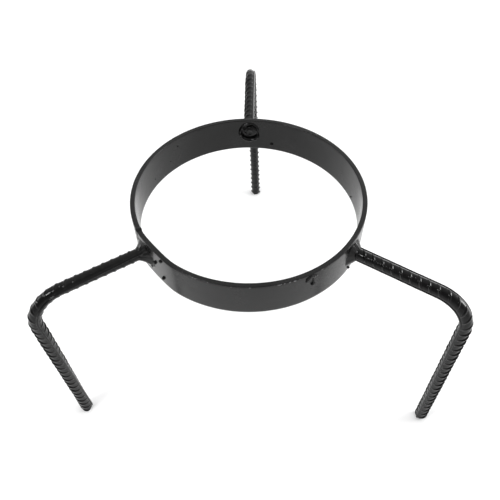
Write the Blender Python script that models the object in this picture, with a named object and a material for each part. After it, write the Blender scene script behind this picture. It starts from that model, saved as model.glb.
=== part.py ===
"""Three-legged ring stand: a hoop of flat bar on edge, carried by three bent legs of ribbed round bar.

Each leg's arm passes through the hoop's wall and is welded to it outside and inside.
Metres, +Z up, floor at z = 0, the origin under the middle of the bounding box.
"""
import math
from collections import namedtuple

import bmesh
import bpy
from mathutils import Vector

# Hoop: one length of flat bar, rolled on edge and closed by a butt weld
HOOP_RADIUS = 0.120            # outer wall
STRIP_HEIGHT = 0.040
STRIP_THICKNESS = 0.005
STRIP_CHAMFER = 0.0006         # worn mill edge
HOOP_HEIGHT = 0.2235           # middle of the strip above the floor
SEAM_AZIMUTH = 205.8           # degrees
SEAM_GAP = 0.0030
FLAT_AZIMUTH = 220.5           # unrolled end of the strip, beside the seam
FLAT_HALF_ANGLE = 15.0
FLAT_DEPTH = 0.0016
HOOP_STEPS = 96

# Legs: ribbed reinforcing bar of 12 mm nominal diameter
BAR_CORE_RADIUS = 0.0060
SPINE_HEIGHT = 0.0010          # the two ribs along the bar
SPINE_HALF_ANGLE = 14.0        # degrees of the bar's circumference
RIB_HEIGHT = 0.0010            # the slanted ribs, at their highest
RIB_PITCH = 0.0092
RIB_HALF_WIDTH = 0.0013
RIB_BEND_FACTOR = 0.55         # what the bending leaves of the ribs' height
BAR_TURN_STEPS = (0.0, SPINE_HALF_ANGLE, 50.0, 90.0, 130.0, 180.0 - SPINE_HALF_ANGLE)
BAR_END_PROUD = 0.0022         # arm past the hoop's inner wall
FIT_GAP = 0.0003
HOLE_RADIUS = BAR_CORE_RADIUS + SPINE_HEIGHT + FIT_GAP
HOLE_STEPS = 28
CUTTER_REACH = 0.012

# azimuth in degrees; rise = arm above the strip's middle; reach = axis to the leg's corner;
# splay and lean = the foot outwards and sideways, in degrees; rolls = turn of the bar about
# itself, in degrees, at the hoop, in the middle of the bend and at the foot
Leg = namedtuple("Leg", "name azimuth rise reach bend splay lean rolls")
LEGS = (
    Leg("left", 211.7, 0.0008, 0.2375, 0.0325, -1.65, -0.10, (48.0, 4.0, -80.0)),
    Leg("right", 327.2, 0.0023, 0.2403, 0.0340, 0.95, -0.15, (219.0, 213.0, 201.0)),
    Leg("back", 89.3, 0.0070, 0.2490, 0.0300, -0.50, -1.90, (117.0, 140.0, 105.0)),
)

# Weld beads round each arm: leg length on the wall and along the bar, their swell towards
# one side of the bar (degrees, 0 = along the hoop anticlockwise, 90 = up), and the hollow
# of the fillet's face, from -1 for a full bead to 1 for a hollow one
Bead = namedtuple("Bead", "name leg outside wall_leg bar_leg swell swell_angle hollow")
BEADS = (
    Bead("outer_weld_left", "left", True, 0.0062, 0.0052, 0.42, -40.0, 0.75),
    Bead("outer_weld_right", "right", True, 0.0056, 0.0050, 0.30, 215.0, 0.15),
    Bead("outer_weld_back", "back", True, 0.0052, 0.0048, 0.20, 260.0, 0.10),
    Bead("inner_weld_left", "left", False, 0.0028, 0.0034, 0.25, 320.0, -0.60),
    Bead("inner_weld_right", "right", False, 0.0030, 0.0032, 0.20, 280.0, -0.60),
    Bead("inner_weld_back", "back", False, 0.0032, 0.0036, 0.30, 300.0, -0.60),
)
BEAD_TURN_STEPS = 32
BEAD_FACE_STEPS = 4
BEAD_WAVE = 0.06               # uneven width, as a share of the wall leg
BEAD_WAVE_COUNTS = (3, 7)
SEAM_PROUD = 0.0007
SEAM_PROUD_STEPS = 5

OUTLINE_STEP = 0.05            # degrees either side that give the wall's direction
WALL_SEARCH_STEPS = 6          # rounds to find where a line along a leg meets the wall
CUT_TOLERANCE = 1e-7

SMOOTH_ANGLE = 35.0            # degrees; sharper edges are shaded sharp
BAR_SMOOTH_ANGLE = 50.0
BEAD_SMOOTH_ANGLE = 60.0
PAINT_COLOUR = (0.018, 0.018, 0.019, 1.0)
PAINT_ROUGHNESS = 0.33


def paint(name):
    """Satin black enamel over steel."""
    material = bpy.data.materials.new(name + "_paint")
    material.use_nodes = True
    shader = material.node_tree.nodes["Principled BSDF"]
    shader.inputs["Base Color"].default_value = PAINT_COLOUR
    shader.inputs["Roughness"].default_value = PAINT_ROUGHNESS
    shader.inputs["Metallic"].default_value = 0.0
    return material


def add_object(name, mesh_data, smooth_angle=SMOOTH_ANGLE):
    """Turn a bmesh into a named, smooth-shaded, painted object."""
    bmesh.ops.recalc_face_normals(mesh_data, faces=mesh_data.faces)
    mesh = bpy.data.meshes.new(name)
    mesh_data.to_mesh(mesh)
    mesh_data.free()
    mesh.shade_smooth()
    mesh.set_sharp_from_angle(angle=math.radians(smooth_angle))
    mesh.materials.append(paint(name))
    thing = bpy.data.objects.new(name, mesh)
    bpy.context.scene.collection.objects.link(thing)
    return thing


def bridge(mesh_data, rows, closed_row=True, closed_rows=False):
    """Join rows of vertices, one after the other, with quads."""
    count = len(rows[0])
    last_row = len(rows) if closed_rows else len(rows) - 1
    last_column = count if closed_row else count - 1
    for i in range(last_row):
        first, second = rows[i], rows[(i + 1) % len(rows)]
        for j in range(last_column):
            k = (j + 1) % count
            mesh_data.faces.new((first[j], first[k], second[k], second[j]))


def angle_between(a, b):
    """Signed difference of two directions in degrees, -180 to 180."""
    return (a - b + 180.0) % 360.0 - 180.0


# ---------------------------------------------------------------- hoop

def wall_radius(azimuth):
    """Radius of the hoop's outer wall: a circle with one shallow flat."""
    across = angle_between(azimuth, FLAT_AZIMUTH) / FLAT_HALF_ANGLE
    if abs(across) >= 1.0:
        return HOOP_RADIUS
    return HOOP_RADIUS - FLAT_DEPTH * (1.0 - across * across) ** 2


def wall_point(azimuth, inward=0.0):
    """Point of the hoop's plan outline, moved inwards square to the wall."""
    def outline(degrees):
        radius = wall_radius(degrees)
        turn = math.radians(degrees)
        return Vector((radius * math.cos(turn), radius * math.sin(turn), 0.0))
    along = (outline(azimuth + OUTLINE_STEP) - outline(azimuth - OUTLINE_STEP)).normalized()
    return outline(azimuth) + Vector((-along.y, along.x, 0.0)) * inward


def strip_section(half_height, thickness, chamfer):
    """Section of the strip as (inward, up) pairs, with its four edges broken."""
    corners = ((0.0, -1.0, 1.0), (thickness, -1.0, -1.0), (thickness, 1.0, -1.0), (0.0, 1.0, 1.0))
    section = []
    for inward, side, away in corners:
        on_wall = (inward, side * (half_height - chamfer))
        on_rim = (inward + away * chamfer, side * half_height)
        starts_on_wall = (inward == 0.0) == (side < 0.0)
        section += [on_wall, on_rim] if starts_on_wall else [on_rim, on_wall]
    return section


def hoop_row(mesh_data, azimuth, section):
    """Vertices of one station of the strip."""
    row = []
    for inward, up in section:
        point = wall_point(azimuth, inward)
        row.append(mesh_data.verts.new((point.x, point.y, HOOP_HEIGHT + up)))
    return row


def make_hoop():
    """The rolled strip, open at its seam, with a drilled hole for each arm."""
    mesh_data = bmesh.new()
    section = strip_section(STRIP_HEIGHT / 2, STRIP_THICKNESS, STRIP_CHAMFER)
    gap_angle = math.degrees(SEAM_GAP / HOOP_RADIUS)
    start = SEAM_AZIMUTH + gap_angle / 2
    sweep = 360.0 - gap_angle
    rows = [hoop_row(mesh_data, start + sweep * i / HOOP_STEPS, section) for i in range(HOOP_STEPS + 1)]
    bridge(mesh_data, rows)
    mesh_data.faces.new(rows[0])
    mesh_data.faces.new(rows[-1])
    hoop = add_object("ring_band", mesh_data)
    for leg in LEGS:
        cut = hoop.modifiers.new("hole_" + leg.name, "BOOLEAN")
        cut.operation = "DIFFERENCE"
        cut.object = make_drill(leg)


def make_drill(leg):
    """Cutter for the hole that an arm passes through."""
    mesh_data = bmesh.new()
    out, across, _ = leg_axes(leg)
    up = Vector((0.0, 0.0, 1.0))
    rows = []
    for distance in (HOOP_RADIUS - CUTTER_REACH, HOOP_RADIUS + CUTTER_REACH):
        centre = out * distance + up * (HOOP_HEIGHT + leg.rise)
        row = []
        for i in range(HOLE_STEPS):
            turn = 2 * math.pi * i / HOLE_STEPS
            offset = (across * math.cos(turn) + up * math.sin(turn)) * HOLE_RADIUS
            row.append(mesh_data.verts.new(centre + offset))
        rows.append(row)
    bridge(mesh_data, rows)
    mesh_data.faces.new(rows[0])
    mesh_data.faces.new(rows[1])
    drill = add_object("drill_" + leg.name, mesh_data)
    drill.hide_render = True
    drill.display_type = "WIRE"
    return drill


def make_seam_weld():
    """Butt weld that fills the strip's joint, a little proud of the inner wall and the rims."""
    mesh_data = bmesh.new()
    half = math.degrees((SEAM_GAP / 2 - FIT_GAP) / HOOP_RADIUS)
    rows = []
    for i in range(SEAM_PROUD_STEPS + 1):
        share = 2.0 * i / SEAM_PROUD_STEPS - 1.0
        proud = SEAM_PROUD * (1.0 - share * share)
        section = strip_section(STRIP_HEIGHT / 2 + proud, STRIP_THICKNESS + proud, STRIP_CHAMFER)
        rows.append(hoop_row(mesh_data, SEAM_AZIMUTH + half * share, section))
    bridge(mesh_data, rows)
    mesh_data.faces.new(rows[0])
    mesh_data.faces.new(rows[-1])
    add_object("seam_weld", mesh_data)


# ---------------------------------------------------------------- legs

def leg_axes(leg):
    """Outward direction of a leg, the direction across it, and its downward run."""
    turn = math.radians(leg.azimuth)
    out = Vector((math.cos(turn), math.sin(turn), 0.0))
    across = Vector((-math.sin(turn), math.cos(turn), 0.0))
    splay = math.radians(leg.splay)
    lean = math.tan(math.radians(leg.lean))
    down = out * math.tan(splay) + across * lean + Vector((0.0, 0.0, -1.0))
    return out, across, down.normalized()


def leg_path(leg):
    """Centre line of a leg as a function of the distance from the hoop's axis along it."""
    out, _, down = leg_axes(leg)
    corner = out * leg.reach + Vector((0.0, 0.0, HOOP_HEIGHT + leg.rise))
    turn = out.angle(down)
    tangent_length = leg.bend * math.tan(turn / 2)
    bend_start = leg.reach - tangent_length
    bend_end = bend_start + leg.bend * turn
    start_point = corner - out * tangent_length
    inward = (down - out * down.dot(out)).normalized()
    length = bend_end + corner.z / -down.z - tangent_length

    def at(distance):
        """Point and direction of the centre line."""
        if distance <= bend_start:
            return start_point + out * (distance - bend_start), out
        if distance >= bend_end:
            return corner + down * (tangent_length + distance - bend_end), down
        angle = (distance - bend_start) / leg.bend
        shift = out * math.sin(angle) + inward * (1.0 - math.cos(angle))
        return start_point + shift * leg.bend, out * math.cos(angle) + inward * math.sin(angle)

    return at, bend_start, bend_end, length


def smooth_step(value, low, high):
    """0 below low, 1 above high, with an even ramp between."""
    share = min(max((value - low) / (high - low), 0.0), 1.0)
    return share * share * (3.0 - 2.0 * share)


def make_leg(leg):
    """Bent ribbed bar: stations slanted round the bar so that every third one is a rib's crest."""
    at, bend_start, bend_end, length = leg_path(leg)
    out, across, _ = leg_axes(leg)
    inner_end = wall_radius(leg.azimuth) - STRIP_THICKNESS - BAR_END_PROUD
    turns = [-180.0] + [-t for t in reversed(BAR_TURN_STEPS[1:])] + list(BAR_TURN_STEPS)

    middle = (bend_start + bend_end) / 2

    def roll(distance):
        at_hoop, in_bend, at_foot = leg.rolls
        before = min(max((distance - HOOP_RADIUS) / (middle - HOOP_RADIUS), 0.0), 1.0)
        after = min(max((distance - middle) / (length - middle), 0.0), 1.0)
        return at_hoop + (in_bend - at_hoop) * before + (at_foot - in_bend) * after

    def crest_share(distance):
        reach = (bend_end - bend_start) / 2 + RIB_PITCH
        nearness = 1.0 - smooth_step(abs(distance - middle), reach - 2 * RIB_PITCH, reach)
        return 1.0 - (1.0 - RIB_BEND_FACTOR) * nearness

    def vertex(station, turn, is_crest):
        distance = station - RIB_PITCH * abs(turn) / 180.0
        point, tangent = at(distance)
        side = (across - tangent * across.dot(tangent)).normalized()
        up = tangent.cross(side)
        radius = BAR_CORE_RADIUS
        if turn in (0.0, -180.0):
            radius += SPINE_HEIGHT
        elif is_crest:
            radius += RIB_HEIGHT * math.sin(math.radians(abs(turn))) * crest_share(distance)
        angle = math.radians(turn + roll(distance))
        return point + (side * math.cos(angle) + up * math.sin(angle)) * radius

    mesh_data = bmesh.new()
    rows = []
    first = math.floor((inner_end - RIB_PITCH) / RIB_PITCH)
    last = math.ceil((length + 2 * RIB_PITCH) / RIB_PITCH)
    for number in range(first, last + 1):
        for offset in (-RIB_HALF_WIDTH, 0.0, RIB_HALF_WIDTH):
            station = number * RIB_PITCH + offset
            rows.append([mesh_data.verts.new(vertex(station, t, offset == 0.0)) for t in turns])
    bridge(mesh_data, rows)
    mesh_data.faces.new(rows[0])
    mesh_data.faces.new(rows[-1])
    cut_flat(mesh_data, out * inner_end, -out)
    cut_flat(mesh_data, Vector((0.0, 0.0, 0.0)), Vector((0.0, 0.0, -1.0)))
    add_object("leg_" + leg.name, mesh_data, BAR_SMOOTH_ANGLE)


def cut_flat(mesh_data, point, outward):
    """Saw the mesh off at a plane and close the cut with one flat face."""
    geometry = mesh_data.verts[:] + mesh_data.edges[:] + mesh_data.faces[:]
    cut = bmesh.ops.bisect_plane(
        mesh_data, geom=geometry, dist=CUT_TOLERANCE, plane_co=point, plane_no=outward,
        clear_outer=True)
    rim = [item for item in cut["geom_cut"] if isinstance(item, bmesh.types.BMEdge)]
    bmesh.ops.contextual_create(mesh_data, geom=rim)


# ---------------------------------------------------------------- welds

def wall_distance(leg, sideways, outside):
    """How far out along a leg the hoop's wall is, at an offset sideways from the leg."""
    depth = 0.0 if outside else STRIP_THICKNESS
    distance = HOOP_RADIUS - depth
    for _ in range(WALL_SEARCH_STEPS):
        azimuth = leg.azimuth + math.degrees(math.atan2(sideways, distance))
        radius = wall_radius(azimuth) - depth
        distance = math.sqrt(radius * radius - sideways * sideways)
    return distance


def make_bead(bead):
    """Fillet weld round an arm, a collar that follows the curve of the hoop's wall."""
    leg = next(item for item in LEGS if item.name == bead.leg)
    out, across, _ = leg_axes(leg)
    up = Vector((0.0, 0.0, 1.0))
    centre = up * (HOOP_HEIGHT + leg.rise)
    facing = 1.0 if bead.outside else -1.0
    low_count, high_count = BEAD_WAVE_COUNTS
    mesh_data = bmesh.new()
    rows = []
    for i in range(BEAD_TURN_STEPS):
        turn = 2 * math.pi * i / BEAD_TURN_STEPS
        swell = 1.0 + bead.swell * math.cos(turn - math.radians(bead.swell_angle))
        wave = math.sin(low_count * turn + leg.azimuth) + math.cos(high_count * turn)
        wall_leg = bead.wall_leg * (swell + BEAD_WAVE * wave)
        bar_leg = bead.bar_leg * (1.0 + (swell - 1.0) / 2)
        profile = [(0.0, 0.0)]
        for j in range(BEAD_FACE_STEPS + 1):
            quarter = math.pi / 2 * j / BEAD_FACE_STEPS
            full = (math.cos(quarter), math.sin(quarter))
            hollow = (1.0 - math.sin(quarter), 1.0 - math.cos(quarter))
            mix = (1.0 + bead.hollow) / 2
            sideways, outwards = (f + (h - f) * mix for f, h in zip(full, hollow))
            profile.append((wall_leg * sideways, bar_leg * outwards))
        row = []
        for sideways, outwards in profile:
            radius = HOLE_RADIUS + sideways
            offset = radius * math.cos(turn)
            wall = wall_distance(leg, offset, bead.outside)
            distance = wall + facing * (FIT_GAP + outwards)
            point = centre + out * distance + across * offset + up * radius * math.sin(turn)
            row.append(mesh_data.verts.new(point))
        rows.append(row)
    bridge(mesh_data, rows, closed_rows=True)
    add_object(bead.name, mesh_data, BEAD_SMOOTH_ANGLE)


# ---------------------------------------------------------------- assembly

def centre_over_origin():
    """Move everything so that the origin is under the middle of the bounding box."""
    points = [vertex.co for thing in bpy.data.objects for vertex in thing.data.vertices
              if not thing.hide_render]
    shift = Vector((0.0, 0.0, 0.0))
    for axis in (0, 1):
        values = [point[axis] for point in points]
        shift[axis] = -(min(values) + max(values)) / 2
    for thing in bpy.data.objects:
        thing.location = shift


def main():
    for thing in list(bpy.data.objects):
        bpy.data.objects.remove(thing)
    make_hoop()
    make_seam_weld()
    for leg in LEGS:
        make_leg(leg)
    for bead in BEADS:
        make_bead(bead)
    centre_over_origin()


main()
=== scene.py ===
"""Looks of the three-legged ring stand: flat bar, ribbed bars and weld metal in black enamel.

Everything is in metres in the CAD model's frame, and azimuths are in degrees. The hoop's place and
size come from the frame; the legs repeat the CAD model's driving dimensions.
"""
import math
from collections import namedtuple

import bmesh
import bpy
import numpy as np
from mathutils import Matrix, Vector, noise


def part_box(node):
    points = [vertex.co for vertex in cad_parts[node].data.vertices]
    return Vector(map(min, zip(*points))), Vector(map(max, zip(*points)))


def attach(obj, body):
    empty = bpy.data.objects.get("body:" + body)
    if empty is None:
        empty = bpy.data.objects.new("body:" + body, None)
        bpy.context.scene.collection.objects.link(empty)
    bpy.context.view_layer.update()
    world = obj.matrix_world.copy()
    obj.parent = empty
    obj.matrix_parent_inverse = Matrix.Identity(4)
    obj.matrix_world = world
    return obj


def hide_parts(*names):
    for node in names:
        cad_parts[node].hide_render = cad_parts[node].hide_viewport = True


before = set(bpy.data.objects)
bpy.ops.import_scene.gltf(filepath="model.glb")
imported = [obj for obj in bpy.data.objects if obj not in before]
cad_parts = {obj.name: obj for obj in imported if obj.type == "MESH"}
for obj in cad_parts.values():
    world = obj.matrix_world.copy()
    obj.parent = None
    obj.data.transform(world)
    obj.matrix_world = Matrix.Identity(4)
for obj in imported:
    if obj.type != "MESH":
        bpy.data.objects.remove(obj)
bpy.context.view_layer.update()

# ---------------------------------------------------------------- dimensions

BAND_LOW, BAND_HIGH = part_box("ring_band")
AXIS = np.array([(BAND_LOW.x + BAND_HIGH.x) / 2, (BAND_LOW.y + BAND_HIGH.y) / 2, 0.0])
HOOP_RADIUS = (BAND_HIGH.x - BAND_LOW.x) / 2
HOOP_HEIGHT = (BAND_LOW.z + BAND_HIGH.z) / 2
STRIP_HEIGHT = BAND_HIGH.z - BAND_LOW.z
STRIP_THICKNESS = 0.005
EDGE_ROUND = 0.0008
SEAM_AZIMUTH = 205.8
FLAT_AZIMUTH = 220.5
FLAT_HALF_ANGLE = 15.0
FLAT_DEPTH = 0.0016

CORE_RADIUS = 0.0060
SPINE_HEIGHT = 0.0010
SPINE_HALF_ANGLE = 14.0
RIB_HEIGHT = 0.0010
RIB_PITCH = 0.0092
RIB_BEND_FACTOR = 0.55
BAR_END_PROUD = 0.0022

# reach is the distance from the hoop's axis to the corner of the centre lines, rise the arm's
# height above the hoop's middle; splay and lean tilt the lower run outwards and sideways; rolls
# turn the bar about itself at the hoop, at the middle of the bend and at the foot; rib_sizes
# scale the ribs on the arm and below the bend
Leg = namedtuple("Leg", "name azimuth rise reach bend splay lean rolls rib_sizes")
LEGS = (
    Leg("left", 211.7, 0.0008, 0.2375, 0.0325, -1.65, -0.10, (48.0, 4.0, -80.0), (0.6, 1.2)),
    Leg("right", 327.2, 0.0023, 0.2403, 0.0340, 0.95, -0.15, (219.0, 213.0, 201.0), (1.1, 1.3)),
    Leg("back", 89.3, 0.0070, 0.2490, 0.0300, -0.50, -1.90, (117.0, 140.0, 105.0), (1.6, 1.4)),
)

UP = np.array([0.0, 0.0, 1.0])

# ---------------------------------------------------------------- meshes

SMOOTH_ANGLE = 40.0
BAR_SMOOTH_ANGLE = 60.0
SEAM_SMOOTH_ANGLE = 60.0
BEAD_SMOOTH_ANGLE = 75.0
DROP_SMOOTH_ANGLE = 80.0
SEED_STEPS = (17.3, 5.1, 9.7)


def new_piece(name, points, faces, material, replaces=(), smooth_angle=SMOOTH_ANGLE):
    """A closed, smooth-shaded mesh piece that rides on the stand's one body."""
    mesh = bpy.data.meshes.new(name)
    mesh.from_pydata([tuple(p) for p in points], [], faces)
    tidy = bmesh.new()
    tidy.from_mesh(mesh)
    bmesh.ops.recalc_face_normals(tidy, faces=tidy.faces)
    tidy.to_mesh(mesh)
    tidy.free()
    mesh.shade_smooth()
    mesh.set_sharp_from_angle(angle=math.radians(smooth_angle))
    mesh.materials.append(material)
    piece = bpy.data.objects.new(name, mesh)
    bpy.context.scene.collection.objects.link(piece)
    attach(piece, "root")
    if replaces:
        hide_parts(*replaces)
    return piece


def grid_faces(rows, columns, closed_rows=False, caps=False):
    """Quads over a grid whose rows are closed loops, with flat caps or closed on itself."""
    faces = []
    for i in range(rows if closed_rows else rows - 1):
        for j in range(columns):
            k = (j + 1) % columns
            n = (i + 1) % rows
            faces.append((i * columns + j, i * columns + k, n * columns + k, n * columns + j))
    if caps:
        faces.append(tuple(range(columns)))
        faces.append(tuple(range((rows - 1) * columns, rows * columns)))
    return faces


def smooth_step(value, low, high):
    """Rise from 0 at low to 1 at high with level ends."""
    share = np.clip((value - low) / (high - low), 0.0, 1.0)
    return share * share * (3.0 - 2.0 * share)


def lumps(points, size, seed, octaves=2):
    """Smooth noise from -1 to 1 at each point, with features of the given size."""
    shift = Vector([seed * step for step in SEED_STEPS])
    return np.array([
        noise.fractal(Vector(p) / size + shift, 1.0, 2.0, octaves) for p in points])


# ---------------------------------------------------------------- hoop

OUTLINE_STEP = 0.05            # degrees either side of a point, for the outline's direction
HOOP_STATIONS = 720
HOOP_WALL_STEPS = 14
HOOP_RIM_STEPS = 4
CORNER_STEPS = 4
RIM_WAVE_SHARE = 0.15          # of the walls' unevenness that the rims share
HOOP_WAVES = ((0.00005, 0.022, 1), (0.00002, 0.006, 2))     # depth, size and seed


def wall_radius(azimuth):
    """Radius of the outer wall at azimuths in degrees: a circle with one shallow flat."""
    across = ((np.asarray(azimuth) - FLAT_AZIMUTH + 180.0) % 360.0 - 180.0) / FLAT_HALF_ANGLE
    dip = np.clip(1.0 - across * across, 0.0, 1.0) ** 2
    return HOOP_RADIUS - FLAT_DEPTH * dip


def outline(azimuth):
    """Outer wall's plan outline and its inward direction, at azimuths in degrees."""
    def at(degrees):
        turn = np.radians(degrees)
        return wall_radius(degrees)[:, None] * np.stack([np.cos(turn), np.sin(turn)], 1)
    azimuth = np.atleast_1d(np.asarray(azimuth, float))
    along = at(azimuth + OUTLINE_STEP) - at(azimuth - OUTLINE_STEP)
    along /= np.linalg.norm(along, axis=1)[:, None]
    return at(azimuth), np.stack([-along[:, 1], along[:, 0]], 1)


def strip_section(half_height, thickness, wall_steps, rim_steps):
    """Round-cornered section of the strip as (inward, up) pairs."""
    rounding = EDGE_ROUND
    section = []
    corners = (
        (rounding, -half_height + rounding, 180.0),
        (thickness - rounding, -half_height + rounding, 270.0),
        (thickness - rounding, half_height - rounding, 0.0),
        (rounding, half_height - rounding, 90.0),
    )
    for number, (inward, up, start) in enumerate(corners):
        for i in range(CORNER_STEPS + 1):
            turn = math.radians(start + 90.0 * i / CORNER_STEPS)
            section.append((inward + rounding * math.cos(turn), up + rounding * math.sin(turn)))
        last = section[-1]
        after = corners[(number + 1) % 4]
        turn = math.radians(after[2])
        goal = (after[0] + rounding * math.cos(turn), after[1] + rounding * math.sin(turn))
        steps = rim_steps if number % 2 == 0 else wall_steps
        for i in range(1, steps):
            share = i / steps
            section.append(tuple(a + (b - a) * share for a, b in zip(last, goal)))
    return np.array(section)


def strip_points(azimuths, section):
    """Points of a sweep of one section, or of one section per station, along the hoop."""
    plan, inward = outline(azimuths)
    section = np.broadcast_to(section, (len(plan),) + section.shape[-2:])
    level = plan[:, None, :] + inward[:, None, :] * section[..., :1]
    height = HOOP_HEIGHT + section[..., 1:]
    return np.concatenate([level, height], -1).reshape(-1, 3) + AXIS


def make_hoop(material):
    """The strip, closed on itself, with slightly uneven walls and broken edges."""
    azimuths = SEAM_AZIMUTH + 360.0 * np.arange(HOOP_STATIONS) / HOOP_STATIONS
    section = strip_section(STRIP_HEIGHT / 2, STRIP_THICKNESS, HOOP_WALL_STEPS, HOOP_RIM_STEPS)
    points = strip_points(azimuths, section)
    heart = np.broadcast_to([STRIP_THICKNESS / 2, 0.0], section.shape)
    away = points - strip_points(azimuths, heart)
    away[:, 2] *= RIM_WAVE_SHARE
    away /= np.linalg.norm(away, axis=1)[:, None]
    unevenness = sum(depth * lumps(points, size, seed) for depth, size, seed in HOOP_WAVES)
    points = points + away * unevenness[:, None]
    faces = grid_faces(HOOP_STATIONS, len(section), closed_rows=True)
    return new_piece("ring_band_strip", points, faces, material, ["ring_band"])


# ---------------------------------------------------------------- legs

MILLIMETRE = 0.001
RIB_OFFSETS = np.array([        # stations from a rib's crest to the next rib, in millimetres
    -2.0, -1.6, -1.3, -1.0, -0.7, -0.35, 0.0, 0.35, 0.7, 1.0, 1.3, 1.6, 2.0, 3.2, 4.6, 6.0])
RIB_CREST_HALF = 0.0003
RIB_FOOT_HALF = 0.0017
RIB_ROUNDNESS = 0.9            # exponent of the crescent: below 1 is fuller than a sine
RIB_SIZE_RANGE = (0.85, 1.1)
SPINE_TURNS = np.array([0.0, 3.5, 7.0, 8.4, 9.8, 11.2, 12.6, 14.0])
SPINE_SHOULDER = 7.0           # degrees over which a spine falls off at each side
SIDE_TURNS = np.linspace(18.0, 162.0, 25)
BAR_FINE_WAVES = (0.00006, 0.005, 3)     # depth, size and seed
BAR_LONG_WAVES = (0.00008, 0.03, 4)
END_BREAK_DEPTH = 0.0009
END_BREAK_LENGTH = 0.0012
CUT_TOLERANCE = 1e-7


def leg_axes(leg):
    """Outward direction of a leg, the direction across it, and the direction of its lower run."""
    turn = math.radians(leg.azimuth)
    out = np.array([math.cos(turn), math.sin(turn), 0.0])
    across = np.array([-math.sin(turn), math.cos(turn), 0.0])
    splay = math.tan(math.radians(leg.splay))
    lean = math.tan(math.radians(leg.lean))
    down = out * splay + across * lean - UP
    return out, across, down / np.linalg.norm(down)


def leg_path(leg):
    """Centre line of a leg: points and directions at distances along it, and its bend and end."""
    out, _, down = leg_axes(leg)
    corner = AXIS + out * leg.reach + UP * (HOOP_HEIGHT + leg.rise)
    turn = math.acos(out @ down)
    tangent_length = leg.bend * math.tan(turn / 2)
    bend_start = leg.reach - tangent_length
    bend_end = bend_start + leg.bend * turn
    inward = down - out * (out @ down)
    inward /= np.linalg.norm(inward)
    start = corner - out * tangent_length
    length = bend_end + corner[2] / -down[2] - tangent_length

    def at(distance):
        """Points and directions of the centre line at an array of distances."""
        before = np.minimum(distance - bend_start, 0.0)[..., None]
        angle = np.clip((distance - bend_start) / leg.bend, 0.0, turn)[..., None]
        after = np.maximum(distance - bend_end, 0.0)[..., None]
        arc = out * np.sin(angle) + inward * (1.0 - np.cos(angle))
        tangent = out * np.cos(angle) + inward * np.sin(angle)
        return start + arc * leg.bend + out * before + down * after, tangent

    return at, bend_start, bend_end, length


def rib_stations(first, last):
    """Distances of the stations along a bar, their shares of the rib's height, and rib numbers."""
    offsets = RIB_OFFSETS * MILLIMETRE
    heights = 1.0 - smooth_step(np.abs(offsets), RIB_CREST_HALF, RIB_FOOT_HALF)
    numbers = np.arange(first, last)
    distances = (numbers[:, None] * RIB_PITCH + offsets).ravel()
    return distances, np.tile(heights, len(numbers)), np.repeat(numbers, len(offsets))


def bar_turns():
    """Angles round the bar in degrees, close together over the two spines."""
    half = np.concatenate([SPINE_TURNS, SIDE_TURNS, 180.0 - SPINE_TURNS[::-1]])
    return np.concatenate([half, -half[-2:0:-1]])


def make_leg(leg, material):
    """A bent ribbed bar: two spines, slanted crescent ribs worn at the bend, sawn ends."""
    at, bend_start, bend_end, length = leg_path(leg)
    out, across, _ = leg_axes(leg)
    inner_end = float(wall_radius(leg.azimuth)) - STRIP_THICKNESS - BAR_END_PROUD
    turns = bar_turns()
    first = math.floor((inner_end - RIB_PITCH) / RIB_PITCH)
    stations, rib_share, numbers = rib_stations(first, math.ceil(length / RIB_PITCH) + 2)
    slant = RIB_PITCH * np.abs(turns) / 180.0
    distance = stations[:, None] - slant

    middle = (bend_start + bend_end) / 2
    roll = np.interp(distance, (HOOP_RADIUS, middle, length), leg.rolls)
    reach = (bend_end - bend_start) / 2 + RIB_PITCH
    worn = 1.0 - smooth_step(np.abs(distance - middle), reach - 2 * RIB_PITCH, reach)
    on_arm, below = leg.rib_sizes
    size = on_arm + (below - on_arm) * smooth_step(distance, bend_start - 2 * RIB_PITCH, bend_end)
    crest = size * (1.0 - (1.0 - RIB_BEND_FACTOR) * worn)

    draw = np.random.default_rng(int(leg.azimuth * 10))
    rib_size = draw.uniform(*RIB_SIZE_RANGE, (len(numbers), 2))[numbers - first]
    side = (turns < 0).astype(int)
    between = (np.abs(turns) - SPINE_HALF_ANGLE) / (180.0 - 2 * SPINE_HALF_ANGLE)
    crescent = np.sin(math.pi * np.clip(between, 0.0, 1.0)) ** RIB_ROUNDNESS
    ribs = RIB_HEIGHT * rib_share[:, None] * crescent * rib_size[:, side] * crest
    from_spine = np.minimum(np.abs(turns), 180.0 - np.abs(turns))
    shoulder = smooth_step(from_spine, SPINE_HALF_ANGLE - SPINE_SHOULDER, SPINE_HALF_ANGLE)
    spine = SPINE_HEIGHT * (1.0 - shoulder)
    radius = CORE_RADIUS + np.maximum(ribs, spine)

    centre, tangent = at(distance)
    sideways = across - tangent * (tangent @ across)[..., None]
    sideways /= np.linalg.norm(sideways, axis=-1)[..., None]
    up = np.cross(tangent, sideways)
    angle = np.radians(turns + roll)[..., None]
    away = sideways * np.cos(angle) + up * np.sin(angle)
    core = (centre + away * CORE_RADIUS).reshape(-1, 3)
    (fine_depth, *fine), (long_depth, *long) = BAR_FINE_WAVES, BAR_LONG_WAVES
    uneven = fine_depth * lumps(core, *fine) + long_depth * lumps(core, *long, octaves=1)
    to_end = np.minimum(distance - inner_end, length - distance)
    broken = END_BREAK_DEPTH * (1.0 - smooth_step(to_end, 0.0, END_BREAK_LENGTH))
    radius = radius + uneven.reshape(radius.shape) - broken
    points = (centre + away * radius[..., None]).reshape(-1, 3)

    name = "leg_" + leg.name
    faces = grid_faces(len(stations), len(turns), caps=True)
    piece = new_piece(name + "_bar", points, faces, material, [name],
                      BAR_SMOOTH_ANGLE)
    saw_off(piece.data, AXIS + out * inner_end, -out)
    saw_off(piece.data, np.zeros(3), -UP)
    return piece


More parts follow.
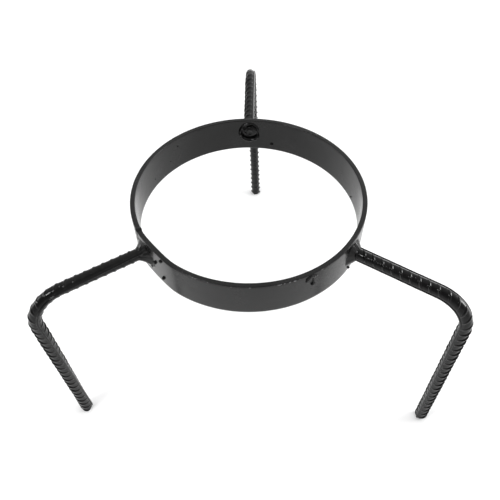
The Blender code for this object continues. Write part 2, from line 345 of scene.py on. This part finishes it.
def saw_off(mesh, point, outward):
    """Cut a mesh at a plane and close it with one flat face."""
    cut = bmesh.new()
    cut.from_mesh(mesh)
    geometry = cut.verts[:] + cut.edges[:] + cut.faces[:]
    result = bmesh.ops.bisect_plane(
        cut, geom=geometry, dist=CUT_TOLERANCE, plane_co=point, plane_no=outward,
        clear_outer=True)
    rim = [item for item in result["geom_cut"] if isinstance(item, bmesh.types.BMEdge)]
    bmesh.ops.contextual_create(cut, geom=rim)
    bmesh.ops.recalc_face_normals(cut, faces=cut.faces)
    cut.to_mesh(mesh)
    cut.free()


# ---------------------------------------------------------------- welds

# swells are (angle round the bar in degrees, spread in degrees, share added to the legs); hollow
# and the ripples' number and depth describe the weld's face
Bead = namedtuple("Bead", "name leg outside wall_leg bar_leg swells hollow ripples ripple_depth")
BEADS = (
    Bead("outer_weld_left", "left", True, 0.0062, 0.0058,
         ((-28.0, 55.0, 1.15), (110.0, 50.0, 0.35)), 0.45, 9, 0.00006),
    Bead("outer_weld_right", "right", True, 0.0056, 0.0050,
         ((222.0, 30.0, 0.75), (35.0, 50.0, 0.35), (270.0, 30.0, 0.20)), 0.0, 11, 0.00006),
    Bead("outer_weld_back", "back", True, 0.0048, 0.0046,
         ((260.0, 50.0, 0.30),), 0.05, 19, 0.00030),
    Bead("inner_weld_left", "left", False, 0.0042, 0.0013,
         ((320.0, 60.0, 0.50),), 0.0, 15, 0.00020),
    Bead("inner_weld_right", "right", False, 0.0042, 0.0012,
         ((280.0, 60.0, 0.50),), 0.0, 14, 0.00020),
    Bead("inner_weld_back", "back", False, 0.0042, 0.0013,
         ((230.0, 22.0, 1.80), (275.0, 40.0, 2.40), (335.0, 40.0, 1.80), (45.0, 30.0, 0.50)),
         0.0, 15, 0.00014),
)
WELD_SINK = 0.0004             # the fused root, inside the wall and the bar
WALL_SEARCH_STEPS = 6
BEAD_STATIONS = 240
BEAD_FACE_STEPS = 26
TOE_WAVES = (0.09, 0.35)       # share of the leg, and size on a circle of radius 1
BAR_TOE_WAVES = (0.10, 0.30)
RIPPLE_LAG = 1.6               # how far a ripple's middle trails its ends, in radians
RIPPLE_ROUNDNESS = 0.7
BEAD_WAVES = (0.00010, 0.0030)           # depth and size, as below
RIDGE_WIDTH = 0.62             # of an inner weld's width
RIDGE_ROUNDNESS = 0.8

PLUG_STATIONS = 96
PLUG_RINGS = 30
PLUG_RADIUS = 0.0070
PLUG_PROUD = 0.0030
PLUG_SHIFT = np.array([-0.0020, -0.0014])
PLUG_FLATNESS = 5              # exponent of the crown: higher is flatter with a rounder edge
PLUG_EDGE_WAVES = (0.05, 0.9)
PLUG_WAVES = (0.00012, 0.0025)
DIP_PLACE = np.array([0.0022, -0.0002])
DIP_DEPTH = 0.0007
DIP_SPREAD = 0.0020
DIP_RIM_HEIGHT = 0.0004
DIP_RIM_RADIUS = 0.0038
DIP_RIM_SPREAD = 0.0012
DIP_RIM_LIMIT = 0.9            # share of the plug's radius inside which the dip's rim is raised

SEAM_STATIONS = 25
SEAM_HALF_ANGLE = 1.5
SEAM_PROUD = 0.0009
SEAM_SINK = 0.0002
SEAM_WALL_STEPS = 40
SEAM_RIM_STEPS = 5
SEAM_WAVES = (0.00030, 0.0026, 6)        # depth, size and seed
TINY = 1e-9


def wall_distance(leg, sideways, outside):
    """How far out along a leg the hoop's wall is, at offsets sideways from the leg."""
    depth = 0.0 if outside else STRIP_THICKNESS
    distance = np.full_like(sideways, HOOP_RADIUS - depth)
    for _ in range(WALL_SEARCH_STEPS):
        azimuth = leg.azimuth + np.degrees(np.arctan2(sideways, distance))
        distance = np.sqrt((wall_radius(azimuth) - depth) ** 2 - sideways ** 2)
    return distance


def fillet(share, hollow):
    """Section of an outer weld, wall toe to bar toe: bulging at -1, flat at 0, hollow at 1."""
    quarter = share * math.pi / 2
    mix = (1.0 + hollow) / 2
    along_wall = np.cos(quarter) * (1 - mix) + (1.0 - np.sin(quarter)) * mix
    along_bar = np.sin(quarter) * (1 - mix) + (1.0 - np.cos(quarter)) * mix
    return along_wall, along_bar


def ridge(share):
    """Section of an inner weld: a ridge round the bar's end with a groove inside it."""
    across_ridge = np.clip(share / RIDGE_WIDTH, 0.0, 1.0)
    return 1.0 - share, np.sin(math.pi * across_ridge) ** RIDGE_ROUNDNESS


def circle_points(turn):
    """Points on a level circle of radius 1 at angles in radians."""
    return np.stack([np.cos(turn), np.sin(turn), np.zeros_like(turn)], 1)


def around_arm(leg, distance, offset, height):
    """Points at distances out along a leg's arm, offsets across it and heights over its middle."""
    out, across, _ = leg_axes(leg)
    return (AXIS + UP * (HOOP_HEIGHT + leg.rise) + out * distance[..., None]
            + across * offset[..., None] + UP * height[..., None]).reshape(-1, 3)


def make_bead(bead, material):
    """A weld round an arm: uneven toes, ripples left by the weaving arc, a fused root."""
    leg = next(item for item in LEGS if item.name == bead.leg)
    facing = 1.0 if bead.outside else -1.0
    turn = np.linspace(0.0, 360.0, BEAD_STATIONS, endpoint=False)
    swell = np.ones(BEAD_STATIONS)
    for angle, spread, amount in bead.swells:
        off = (turn - angle + 180.0) % 360.0 - 180.0
        swell += amount * np.exp(-((off / spread) ** 2))
    ring = circle_points(np.radians(turn))
    seed = leg.azimuth + (0.5 if bead.outside else 0.0)
    half_swell = 1.0 + (swell - 1.0) / 2
    wall_swell, bar_swell = (swell, half_swell) if bead.outside else (half_swell, swell)
    toe_depth, toe_size = TOE_WAVES
    wall_leg = bead.wall_leg * (wall_swell + toe_depth * lumps(ring, toe_size, seed))
    toe_depth, toe_size = BAR_TOE_WAVES
    bar_leg = bead.bar_leg * bar_swell * (1.0 + toe_depth * lumps(ring, toe_size, seed + 1))

    share = np.linspace(0.0, 1.0, BEAD_FACE_STEPS)
    wall_share, bar_share = fillet(share, bead.hollow) if bead.outside else ridge(share)
    sideways = wall_leg[:, None] * wall_share
    outwards = bar_leg[:, None] * bar_share

    mid_face = np.sin(math.pi * share)
    phase = np.radians(turn * bead.ripples)[:, None] + RIPPLE_LAG * mid_face + seed
    ripple = bead.ripple_depth * np.abs(np.sin(phase / 2)) * mid_face ** RIPPLE_ROUNDNESS
    sideways = sideways + ripple * math.sqrt(0.5)
    outwards = outwards + ripple * math.sqrt(0.5)

    root = np.full((BEAD_STATIONS, 1), -WELD_SINK)
    sideways = np.concatenate([root, sideways[:, :1], sideways, root], 1)
    outwards = np.concatenate([root, root, outwards, outwards[:, -1:]], 1)

    radius = CORE_RADIUS + sideways
    offset = radius * np.cos(np.radians(turn))[:, None]
    height = radius * np.sin(np.radians(turn))[:, None]
    distance = wall_distance(leg, offset, bead.outside) + facing * outwards
    points = around_arm(leg, distance, offset, height)
    away = points - points.mean(0)
    away /= np.linalg.norm(away, axis=1)[:, None]
    wave_depth, wave_size = BEAD_WAVES
    points = points + away * (wave_depth * lumps(points, wave_size, seed + 2))[:, None]
    faces = grid_faces(BEAD_STATIONS, radius.shape[1], closed_rows=True)
    if not bead.outside:
        plug_points, plug_faces = make_plug(leg, seed)
        faces += [tuple(len(points) + corner for corner in face) for face in plug_faces]
        points = np.concatenate([points, plug_points])
    return new_piece(bead.name + "_bead", points, faces, material, [bead.name],
                     BEAD_SMOOTH_ANGLE)


def make_plug(leg, seed):
    """The puddle of weld metal over a bar's inner end: a low crown with a dip off its middle."""
    turn = np.linspace(0.0, 2 * math.pi, PLUG_STATIONS, endpoint=False)
    circle = circle_points(turn)
    share = np.linspace(0.0, 1.0, PLUG_RINGS + 1)[1:][::-1]
    edge_depth, edge_size = PLUG_EDGE_WAVES
    edge = PLUG_RADIUS * (1.0 + edge_depth * lumps(circle, edge_size, seed))
    flat = share[:, None, None] * circle[:, :2] * edge[:, None]
    crown = PLUG_PROUD * (1.0 - share ** PLUG_FLATNESS) ** 0.5
    to_dip = np.linalg.norm(flat - DIP_PLACE, axis=-1)
    dip = DIP_DEPTH * np.exp(-((to_dip / DIP_SPREAD) ** 2))
    dip_rim = DIP_RIM_HEIGHT * np.exp(-(((to_dip - DIP_RIM_RADIUS) / DIP_RIM_SPREAD) ** 2))
    height = crown[:, None] - dip * (share < 1.0)[:, None]
    height += dip_rim * (share < DIP_RIM_LIMIT)[:, None]

    flat = np.concatenate([flat[:1], flat]) + PLUG_SHIFT
    height = np.concatenate([np.full((1, PLUG_STATIONS), -WELD_SINK), height])
    distance = wall_distance(leg, flat[..., 0], False) - height
    points = around_arm(leg, distance, flat[..., 0], flat[..., 1])
    wave_depth, wave_size = PLUG_WAVES
    inward = -leg_axes(leg)[0]
    points = points + inward * (wave_depth * lumps(points, wave_size, seed + 3))[:, None]
    return points, grid_faces(PLUG_RINGS + 1, PLUG_STATIONS, caps=True)


def make_seam(material):
    """The butt weld across the strip, a low ridge on both walls and both rims."""
    share = np.linspace(-1.0, 1.0, SEAM_STATIONS)
    azimuths = SEAM_AZIMUTH + SEAM_HALF_ANGLE * share
    sections = []
    for height in SEAM_PROUD * np.sqrt(np.clip(1.0 - share * share, 0.0, 1.0)) - SEAM_SINK:
        section = strip_section(STRIP_HEIGHT / 2 + height, STRIP_THICKNESS + 2 * height,
                                SEAM_WALL_STEPS, SEAM_RIM_STEPS)
        sections.append(section - [height, 0.0])
    points = strip_points(azimuths, np.array(sections))
    faces = grid_faces(SEAM_STATIONS, len(sections[0]), caps=True)
    heart = strip_points([SEAM_AZIMUTH], np.array([[STRIP_THICKNESS / 2, 0.0]]))[0]
    away = points - heart
    away[:, 2] = 0.0
    away /= np.maximum(np.linalg.norm(away, axis=1)[:, None], TINY)
    wave_depth, *wave = SEAM_WAVES
    points = points + away * (wave_depth * lumps(points * UP, *wave))[:, None]
    return new_piece("seam_weld_bead", points, faces, material, ["seam_weld"],
                     SEAM_SMOOTH_ANGLE)


# ---------------------------------------------------------------- spatter

# balls of weld spatter: azimuth, height above the strip's middle, radius
OUTER_SPATTER = (
    (226.7, 0.0152, 0.0018), (221.2, 0.0030, 0.0019), (218.1, -0.0076, 0.0017),
    (216.3, -0.0053, 0.0015), (226.4, -0.0111, 0.0019), (324.7, -0.0166, 0.0014),
    (299.1, 0.0047, 0.0018), (300.0, 0.0040, 0.0014),
)
INNER_SPATTER = (
    (133.9, 0.0095, 0.0008), (140.3, -0.0045, 0.0006), (154.5, -0.0092, 0.0005),
    (76.4, -0.0120, 0.0019), (14.0, -0.0160, 0.0009),
)
DROP_SUBDIVISIONS = 3
DROP_FLATNESS = 0.8            # thickness from the wall, against the width
DROP_RISE = 0.35               # of its radius, from the wall to the drop's middle
DROP_BULGE = 0.12
DROP_BULGE_SCALE = 1.4

# stray weld metal on the outer wall: points of (azimuth, height above the middle), and radii
HOOK_ROUTE = ((295.9, 0.0100), (296.6, 0.0150), (298.0, 0.0178), (301.3, 0.0148))
HOOK_RADII = (0.0017, 0.0020, 0.0017, 0.0018)
STEM_ROUTE = ((299.2, 0.0160), (299.5, 0.0105), (299.5, 0.0065))
STEM_RADII = (0.0013, 0.0010, 0.0013)
TACK_STATIONS = 40
TACK_AROUND = 20
TACK_SMOOTHINGS = 3
TACK_END_EXPONENT = 6
TACK_END_LEAST = 0.02
TACK_LUMP = 0.10
TACK_LUMP_STEP = 1.3
TACK_FLATNESS = 0.75
TACK_RISE = 0.2


def wall_frame(azimuth, height, outside):
    """Point on a wall of the hoop with the direction away from it, along it and up."""
    plan, inward = outline(azimuth)
    inward = Vector((inward[0][0], inward[0][1], 0.0))
    depth = 0.0 if outside else STRIP_THICKNESS
    point = Vector((plan[0][0], plan[0][1], 0.0)) + inward * depth
    point += Vector((AXIS[0], AXIS[1], HOOP_HEIGHT + height))
    away = -inward if outside else inward
    up = Vector(UP)
    return point, away, up.cross(away), up


def make_spatter(name, balls, outside, material):
    """Small frozen drops, each a flattened, uneven ball sunk a little into the wall."""
    points, faces = [], []
    for number, (azimuth, height, radius) in enumerate(balls):
        point, away, along, up = wall_frame(azimuth, height, outside)
        drop = bmesh.new()
        bmesh.ops.create_icosphere(drop, subdivisions=DROP_SUBDIVISIONS, radius=1.0)
        shift = Vector((number * 3.1, 7.0, 1.0))
        base = len(points)
        for vertex in drop.verts:
            bulge = 1.0 + DROP_BULGE * noise.noise(vertex.co * DROP_BULGE_SCALE + shift)
            local = vertex.co * radius * bulge
            rise = local.x * DROP_FLATNESS + radius * DROP_RISE
            points.append(point + away * rise + along * local.y + up * local.z)
        faces += [tuple(base + v.index for v in f.verts) for f in drop.faces]
        drop.free()
    return new_piece(name, points, faces, material, smooth_angle=DROP_SMOOTH_ANGLE)


def make_tack(name, route, radii, material):
    """A short stray run of weld metal on the outer wall, round-ended and lumpy."""
    share = np.linspace(0.0, len(route) - 1, TACK_STATIONS)
    knots = np.arange(len(route))
    azimuths = np.interp(share, knots, [p[0] for p in route])
    heights = np.interp(share, knots, [p[1] for p in route])
    widths = np.interp(share, knots, radii)
    for _ in range(TACK_SMOOTHINGS):
        azimuths[1:-1] = (azimuths[:-2] + 2 * azimuths[1:-1] + azimuths[2:]) / 4
        heights[1:-1] = (heights[:-2] + 2 * heights[1:-1] + heights[2:]) / 4
    fullness = 1.0 - np.linspace(-1.0, 1.0, TACK_STATIONS) ** TACK_END_EXPONENT
    ends = np.sqrt(np.clip(fullness, TACK_END_LEAST, 1.0))
    frames = [wall_frame(a, h, True) for a, h in zip(azimuths, heights)]
    points = []
    for i, (point, away, _, _) in enumerate(frames):
        before, after = frames[max(i - 1, 0)][0], frames[min(i + 1, TACK_STATIONS - 1)][0]
        across = (after - before).normalized().cross(away)
        radius = widths[i] * ends[i] * (1.0 + TACK_LUMP * math.sin(i * TACK_LUMP_STEP))
        for j in range(TACK_AROUND):
            turn = 2 * math.pi * j / TACK_AROUND
            points.append(point + across * radius * math.cos(turn)
                          + away * radius * (TACK_FLATNESS * math.sin(turn) + TACK_RISE))
    faces = grid_faces(TACK_STATIONS, TACK_AROUND, caps=True)
    return new_piece(name, points, faces, material, smooth_angle=BEAD_SMOOTH_ANGLE)


# ---------------------------------------------------------------- materials

# look of one enamel; few_chips and band_chips build the mask of its bare places
Paint = namedtuple("Paint", "name colour roughness ior peel_depth")
FLAT_PAINT = Paint("enamel_flat_bar", 0.005, 0.22, 1.34, 0.000022)
BAR_PAINT = Paint("enamel_ribbed_bar", 0.002, 0.13, 1.31, 0.000012)
WELD_PAINT = Paint("enamel_weld", 0.002, 0.20, 1.32, 0.000010)
BLOTCH_SIZE = 0.03
GRAIN_SIZE = 0.0011
PEEL_SIZE = 0.0016
WAVE_SIZE = 0.009
WAVE_OVER_PEEL = 2.0           # depth of the long waves against the orange peel
# ramps are (from low, from high) or (from low, from high, to low, to high)
DUST_BLOTCHES = (0.35, 0.70, 0.0, 0.6)
DUST_GRAINS = (0.45, 0.75, 0.0, 0.5)
GLOSS_RANGE = (0.3, 0.7)
DUST_TONE = 2.2                # times the paint's own colour
GLOSS_SPREAD = 0.05
GRAIN_GLOSS_SPREAD = 0.03
BARE_COLOUR = (0.17, 0.17, 0.175, 1.0)
BARE_ROUGHNESS = 0.5
CHIP_DEPTH = 0.00006

BAND_CHIP_SIZE = 0.0022
BAND_CHIP_PATCH = 0.012
BAND_SPECKLES = (0.55, 0.62)
BAND_PATCHES = (0.48, 0.57)
BAND_CHIP_TOP = (0.0001, 0.0005)         # below the top rim, fading in
BAND_CHIP_BOTTOM = (0.0012, 0.0019)      # fading out
BAND_CHIP_INSIDE = (0.0028, 0.0022)      # in from the outer wall, fading in
BAND_CHIP_FRONT = (-0.085, -0.110)       # ahead of the hoop's middle, fading in
BAR_CHIPS = (0.0012, 0.74)               # size and threshold
WELD_CHIPS = (0.0010, 0.76)
CHIP_EDGE = 0.03
CHIP_PATCH_RATIO = 9
CHIP_PATCHES = (0.55, 0.62)
FLOOR_TONES = (0.86, 0.88)
FLOOR_TONE_SIZE = 0.2
FLOOR_ROUGHNESS = 0.9
FLOOR_SPECULAR = 0.2


class Nodes:
    """Short way to add and join shader nodes."""

    def __init__(self, tree):
        self.tree = tree

    def add(self, kind, **settings):
        node = self.tree.nodes.new("ShaderNode" + kind)
        for key, value in settings.items():
            if key in node.inputs:
                node.inputs[key].default_value = value
            else:
                setattr(node, key, value)
        return node

    def join(self, source, target, name):
        self.tree.links.new(source, target.inputs[name])

    def math(self, operation, first, second):
        node = self.add("Math", operation=operation)
        for number, value in enumerate((first, second)):
            if isinstance(value, (int, float)):
                node.inputs[number].default_value = value
            else:
                self.tree.links.new(value, node.inputs[number])
        return node.outputs[0]

    def ramp(self, value, low, high, to_low=0.0, to_high=1.0):
        node = self.add("MapRange", interpolation_type="SMOOTHSTEP")
        node.inputs["From Min"].default_value = low
        node.inputs["From Max"].default_value = high
        node.inputs["To Min"].default_value = to_low
        node.inputs["To Max"].default_value = to_high
        self.join(value, node, "Value")
        return node.outputs[0]

    def noise(self, position, size, detail=2.0, roughness=0.5):
        node = self.add("TexNoise", Scale=1.0 / size, Detail=detail, Roughness=roughness)
        self.join(position, node, "Vector")
        return node.outputs["Fac"]


def enamel(paint, chips):
    """Black enamel: faint dust, uneven gloss, orange peel, and bare grey chips."""
    material = bpy.data.materials.new(paint.name)
    material.use_nodes = True
    tree = material.node_tree
    tree.nodes.clear()
    n = Nodes(tree)
    output = n.add("OutputMaterial")
    shader = n.add("BsdfPrincipled")
    shader.inputs["IOR"].default_value = paint.ior
    position = n.add("TexCoord").outputs["Object"]

    blotch = n.noise(position, BLOTCH_SIZE, 3.0)
    grain = n.noise(position, GRAIN_SIZE, 3.0, 0.6)
    dust = n.math("ADD", n.ramp(blotch, *DUST_BLOTCHES), n.ramp(grain, *DUST_GRAINS))
    dusty = n.add("Mix", data_type="RGBA")
    dusty.inputs["A"].default_value = (*[paint.colour] * 3, 1.0)
    dusty.inputs["B"].default_value = (*[paint.colour * DUST_TONE] * 3, 1.0)
    n.join(dust, dusty, "Factor")

    smoothest, roughest = paint.roughness - GLOSS_SPREAD, paint.roughness + GLOSS_SPREAD
    gloss = n.math("ADD", n.ramp(blotch, *GLOSS_RANGE, smoothest, roughest),
                   n.ramp(grain, *GLOSS_RANGE, -GRAIN_GLOSS_SPREAD, GRAIN_GLOSS_SPREAD))
    peel = n.math("MULTIPLY", n.noise(position, PEEL_SIZE, 2.0), paint.peel_depth)
    waves = n.math("MULTIPLY", n.noise(position, WAVE_SIZE, 1.0),
                   paint.peel_depth * WAVE_OVER_PEEL)
    height = n.math("ADD", peel, waves)

    mask = chips(n, position)
    chipped = n.add("Mix", data_type="RGBA")
    chipped.inputs["B"].default_value = BARE_COLOUR
    n.join(dusty.outputs["Result"], chipped, "A")
    n.join(mask, chipped, "Factor")
    n.join(chipped.outputs["Result"], shader, "Base Color")
    n.join(n.math("MAXIMUM", gloss, n.math("MULTIPLY", mask, BARE_ROUGHNESS)), shader, "Roughness")
    height = n.math("SUBTRACT", height, n.math("MULTIPLY", mask, CHIP_DEPTH))

    bump = n.add("Bump", Strength=1.0, Distance=1.0)
    n.join(height, bump, "Height")
    n.join(bump.outputs["Normal"], shader, "Normal")
    n.join(shader.outputs["BSDF"], output, "Surface")
    return material


def band_chips(n, position):
    """Mask of small chips just below the strip's outer top edge, round the front."""
    parts = n.add("SeparateXYZ")
    n.join(position, parts, "Vector")
    x = n.math("SUBTRACT", parts.outputs["X"], float(AXIS[0]))
    y = n.math("SUBTRACT", parts.outputs["Y"], float(AXIS[1]))
    radius = n.math("SQRT", n.math("ADD", n.math("MULTIPLY", x, x), n.math("MULTIPLY", y, y)), 0.0)
    top = HOOP_HEIGHT + STRIP_HEIGHT / 2
    below = n.math("SUBTRACT", top, parts.outputs["Z"])
    band = n.math("MULTIPLY", n.ramp(below, *BAND_CHIP_TOP),
                  n.ramp(below, *BAND_CHIP_BOTTOM, 1.0, 0.0))
    outer = n.ramp(radius, *(HOOP_RADIUS - depth for depth in BAND_CHIP_INSIDE))
    front = n.ramp(y, *BAND_CHIP_FRONT)
    speckle = n.noise(position, BAND_CHIP_SIZE, 2.0, 0.7)
    patch = n.noise(position, BAND_CHIP_PATCH, 1.0)
    chosen = n.math("MULTIPLY", n.ramp(speckle, *BAND_SPECKLES), n.ramp(patch, *BAND_PATCHES))
    return n.math("MULTIPLY", n.math("MULTIPLY", band, outer), n.math("MULTIPLY", front, chosen))


def few_chips(size, threshold):
    """Builder of a mask of scattered pinholes of the given size."""
    def build(n, position):
        speckle = n.noise(position, size, 1.0)
        patch = n.noise(position, size * CHIP_PATCH_RATIO, 1.0)
        return n.math("MULTIPLY", n.ramp(speckle, threshold, threshold + CHIP_EDGE),
                      n.ramp(patch, *CHIP_PATCHES))
    return build


def floor_material():
    """Plain white paper, a little uneven."""
    material = bpy.data.materials.new("white_paper")
    material.use_nodes = True
    n = Nodes(material.node_tree)
    shader = material.node_tree.nodes["Principled BSDF"]
    shader.inputs["Roughness"].default_value = FLOOR_ROUGHNESS
    shader.inputs["Specular IOR Level"].default_value = FLOOR_SPECULAR
    position = n.add("TexCoord").outputs["Object"]
    tone = n.add("Mix", data_type="RGBA")
    for socket, grey in zip("AB", FLOOR_TONES):
        tone.inputs[socket].default_value = (grey, grey, grey, 1.0)
    n.join(n.noise(position, FLOOR_TONE_SIZE), tone, "Factor")
    n.join(tone.outputs["Result"], shader, "Base Color")
    return material


# ---------------------------------------------------------------- stage

FLOOR_HALF = 6.0
LENS = 40.46                   # millimetres, on a sensor 36 mm wide
SENSOR_WIDTH = 36.0
CAMERA_PLACE = (0.0011, -0.4099, 0.4224)         # from the hoop's centre
CAMERA_DOWN = 50.42
CAMERA_ROLL = -0.157
NEAREST = 0.01
WORLD_RISE = (0.50, 0.98, 1.15, 0.82)            # from a height to a height, and brightnesses
WORLD_ACROSS = (-1.0, 1.0, 0.65, 1.20)           # from left to right
CAMERA_SIDE = (0.15, -0.55)
CAMERA_SIDE_RISE = (0.02, 0.3)
CAMERA_SIDE_DIMMING = 0.62

# name, azimuth, elevation, distance, size, radiance, whether reflections show it
SOFTBOXES = (
    ("key_front_left", -143.0, 52.0, 1.6, 0.40, 18.0, True),
    ("window_right", 8.0, 15.0, 1.7, 0.60, 13.0, True),
    ("window_left", 176.0, 12.0, 1.7, 0.60, 5.0, True),
    ("window_back_right", 58.0, 8.0, 1.8, 0.70, 3.0, True),
    ("overhead_fill", 60.0, 78.0, 2.2, 2.6, 1.0, False),
)


def make_floor():
    """A wide level sheet at height 0."""
    half = FLOOR_HALF
    mesh = bpy.data.meshes.new("floor")
    corners = [(-half, -half, 0.0), (half, -half, 0.0), (half, half, 0.0), (-half, half, 0.0)]
    mesh.from_pydata(corners, [], [(0, 1, 2, 3)])
    mesh.materials.append(floor_material())
    floor = bpy.data.objects.new("floor", mesh)
    bpy.context.scene.collection.objects.link(floor)


def direction(azimuth, elevation):
    """Unit vector towards an azimuth and elevation."""
    a, e = math.radians(azimuth), math.radians(elevation)
    return Vector((math.cos(e) * math.cos(a), math.cos(e) * math.sin(a), math.sin(e)))


def make_softbox(name, azimuth, elevation, distance, size, radiance, in_reflections):
    """A square soft light of an even brightness, aimed at the stand."""
    light = bpy.data.lights.new(name, "AREA")
    light.size = size
    light.energy = radiance * math.pi * size * size
    lamp = bpy.data.objects.new(name, light)
    target = Vector((AXIS[0], AXIS[1], HOOP_HEIGHT / 2))
    away = direction(azimuth, elevation)
    lamp.location = target + away * distance
    lamp.rotation_mode = "QUATERNION"
    lamp.rotation_quaternion = away.to_track_quat("Z", "Y")
    lamp.visible_glossy = in_reflections
    bpy.context.scene.collection.objects.link(lamp)


def make_world():
    """A white room, dimmer overhead, to the left and on the camera's side."""
    world = bpy.data.worlds.new("studio")
    bpy.context.scene.world = world
    world.use_nodes = True
    tree = world.node_tree
    n = Nodes(tree)
    background = tree.nodes["Background"]
    parts = n.add("SeparateXYZ")
    n.join(n.add("TexCoord").outputs["Generated"], parts, "Vector")
    rise, depth, across = parts.outputs["Z"], parts.outputs["Y"], parts.outputs["X"]
    towards_camera = n.math("MULTIPLY", n.ramp(depth, *CAMERA_SIDE),
                            n.ramp(rise, *CAMERA_SIDE_RISE))
    dimming = n.math("MULTIPLY", towards_camera, CAMERA_SIDE_DIMMING)
    dimmed = n.math("MULTIPLY", n.ramp(rise, *WORLD_RISE), n.math("SUBTRACT", 1.0, dimming))
    strength = n.math("MULTIPLY", dimmed, n.ramp(across, *WORLD_ACROSS))
    n.join(strength, background, "Strength")
    background.inputs["Color"].default_value = (1.0, 1.0, 1.0, 1.0)


def make_camera():
    """The camera, in front of the stand and looking down at it."""
    data = bpy.data.cameras.new("camera")
    data.sensor_width = SENSOR_WIDTH
    data.lens = LENS
    data.clip_start = NEAREST
    camera = bpy.data.objects.new("camera", data)
    place = Vector((AXIS[0], AXIS[1], HOOP_HEIGHT)) + Vector(CAMERA_PLACE)
    pitch = Matrix.Rotation(math.radians(90.0 - CAMERA_DOWN), 4, "X")
    roll = Matrix.Rotation(math.radians(CAMERA_ROLL), 4, "Z")
    camera.matrix_world = Matrix.Translation(place) @ pitch @ roll
    bpy.context.scene.collection.objects.link(camera)
    bpy.context.scene.camera = camera


# ---------------------------------------------------------------- scene

make_camera()
make_floor()
make_world()
for softbox in SOFTBOXES:
    make_softbox(*softbox)

flat_enamel = enamel(FLAT_PAINT, band_chips)
bar_enamel = enamel(BAR_PAINT, few_chips(*BAR_CHIPS))
weld_enamel = enamel(WELD_PAINT, few_chips(*WELD_CHIPS))

make_hoop(flat_enamel)
make_seam(weld_enamel)
for one_leg in LEGS:
    make_leg(one_leg, bar_enamel)
for one_bead in BEADS:
    make_bead(one_bead, weld_enamel)
make_spatter("spatter_outer_wall", OUTER_SPATTER, True, weld_enamel)
make_spatter("spatter_inner_wall", INNER_SPATTER, False, weld_enamel)
make_tack("stray_weld_hook", HOOK_ROUTE, HOOK_RADII, weld_enamel)
make_tack("stray_weld_stem", STEM_ROUTE, STEM_RADII, weld_enamel)

bpy.context.scene.view_settings.view_transform = "Standard"
